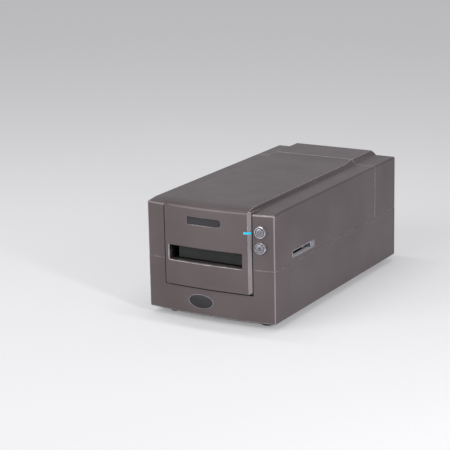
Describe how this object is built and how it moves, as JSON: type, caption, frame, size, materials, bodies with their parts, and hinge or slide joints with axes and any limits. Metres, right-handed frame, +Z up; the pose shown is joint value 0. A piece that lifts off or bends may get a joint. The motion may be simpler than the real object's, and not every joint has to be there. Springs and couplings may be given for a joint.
{
  "type": "film negative scanner",
  "caption": "Desktop film scanner: a long bowed housing with a raised band, a film slot with a hinged dust flap, push buttons, a side lock slide, and the roller drive and optics inside.",
  "frame": {"origin": "on the table under the middle of the length and width of the whole scanner", "axes": "+Z up, -Y the front with the film slot, +X the side with the lock slide"},
  "size_m": [0.1844, 0.3664, 0.1575],
  "materials": {
    "housing_paint": "satin warm grey paint",
    "nameplate_film": "bare graphite film",
    "light_guide": "clear cyan light guide",
    "silver_trim": "silver paint",
    "dark_plastic": "dark grey moulding",
    "black_plastic": "black moulding",
    "circuit_board": "green solder mask",
    "steel": "bright steel",
    "cast_alloy": "plain alloy",
    "bronze": "sintered bronze",
    "gear_plastic": "natural acetal",
    "rubber": "black rubber",
    "clear_glass": "clear glass",
    "silvered_glass": "front silvered glass"
  },
  "bodies": {
    "housing": {"band_cover": "housing_paint", "base_pan": "black_plastic", "board_chips": "black_plastic", "board_standoffs": "steel", "case_screws": "steel", "chassis": "cast_alloy", "data_port": "steel", "diffuser": "light_guide", "feed_motor": "steel", "film_stage": "cast_alloy", "flap_pin": "steel", "focus_motor": "steel", "focus_rods": "steel", "fold_mirror": "silvered_glass", "guide_rails": "cast_alloy", "idler_pin": "steel", "lamp_housing": "cast_alloy", "lamp_tube": "clear_glass", "light_pipe": "light_guide", "line_sensor": "black_plastic", "lock_tray": "silver_trim", "lower_button_ring": "silver_trim", "lower_housing": "housing_paint", "main_board": "circuit_board", "mirror_bracket": "cast_alloy", "nameplate": "nameplate_film", "pinch_brackets": "steel", "power_jack": "black_plastic", "rear_cover": "housing_paint", "rear_panel": "steel", "rubber_feet": "rubber", "sensor_board": "circuit_board", "sensor_bracket": "cast_alloy", "shaft_bushes": "bronze", "slot_throat": "dark_plastic", "socket_board": "dark_plastic", "status_lamp": "light_guide", "switch_board": "circuit_board", "tact_switches": "dark_plastic", "upper_button_ring": "silver_trim", "upper_housing": "housing_paint"},
    "upper_button_body": {"upper_button": "silver_trim"},
    "lower_button_body": {"lower_button": "silver_trim"},
    "flap_body": {"dust_flap": "dark_plastic"},
    "lock_body": {"lock_knob": "silver_trim", "lock_bar": "steel"},
    "feed_body": {"drive_shaft": "steel", "drive_rollers": "rubber", "drive_gear": "gear_plastic"},
    "idler_body": {"idler_gear": "gear_plastic"},
    "pinion_body": {"motor_shaft": "steel", "motor_pinion": "gear_plastic"},
    "pinch_body": {"pinch_shaft": "steel", "pinch_rollers": "rubber"},
    "lens_body": {"lens_carriage": "cast_alloy", "lens_barrel": "black_plastic", "lens_glass": "clear_glass", "lens_strap": "dark_plastic", "focus_nut": "bronze"},
    "focus_body": {"focus_screw": "steel"}
  },
  "joints": [
    {"name": "upper_button_press", "type": "slide", "parent": "housing", "child": "upper_button_body", "axis": [-0.1212, 0.9926, 0], "range_m": [0, 0.0012], "stiffness_N_per_m": 300, "springref_m": -0.001},
    {"name": "lower_button_press", "type": "slide", "parent": "housing", "child": "lower_button_body", "axis": [-0.1212, 0.9926, 0], "range_m": [0, 0.0012], "stiffness_N_per_m": 300, "springref_m": -0.001},
    {"name": "flap_swing", "type": "hinge", "parent": "housing", "child": "flap_body", "pos_m": [-0.0026, -0.17025, 0.0961], "axis": [1, 0, 0], "range_deg": [0, 85]},
    {"name": "lock_slide", "type": "slide", "parent": "housing", "child": "lock_body", "axis": [0, -1, 0], "range_m": [0, 0.048]},
    {"name": "feed_turn", "type": "hinge", "parent": "housing", "child": "feed_body", "pos_m": [-0.0026, -0.11795, 0.07035], "axis": [1, 0, 0], "continuous": true},
    {"name": "idler_turn", "type": "hinge", "parent": "housing", "child": "idler_body", "pos_m": [0.0642, -0.09698, 0.05567], "axis": [1, 0, 0], "continuous": true},
    {"name": "pinion_turn", "type": "hinge", "parent": "housing", "child": "pinion_body", "pos_m": [0.0642, -0.08345, 0.05074], "axis": [1, 0, 0], "continuous": true},
    {"name": "pinch_turn", "type": "hinge", "parent": "housing", "child": "pinch_body", "pos_m": [-0.0026, -0.11795, 0.10125], "axis": [1, 0, 0], "continuous": true},
    {"name": "lens_slide", "type": "slide", "parent": "housing", "child": "lens_body", "axis": [0, 1, 0], "range_m": [-0.005, 0.005]},
    {"name": "focus_turn", "type": "hinge", "parent": "housing", "child": "focus_body", "pos_m": [0.0434, 0.07005, 0.031], "axis": [0, 1, 0], "range_deg": [-455, 455]}
  ],
  "couplings": [
    {"joint": "idler_turn", "follows": "feed_turn", "ratio": -1.6667},
    {"joint": "pinion_turn", "follows": "feed_turn", "ratio": 3.3333},
    {"joint": "focus_turn", "follows": "lens_slide", "rad_per_m": 1570.8}
  ]
}
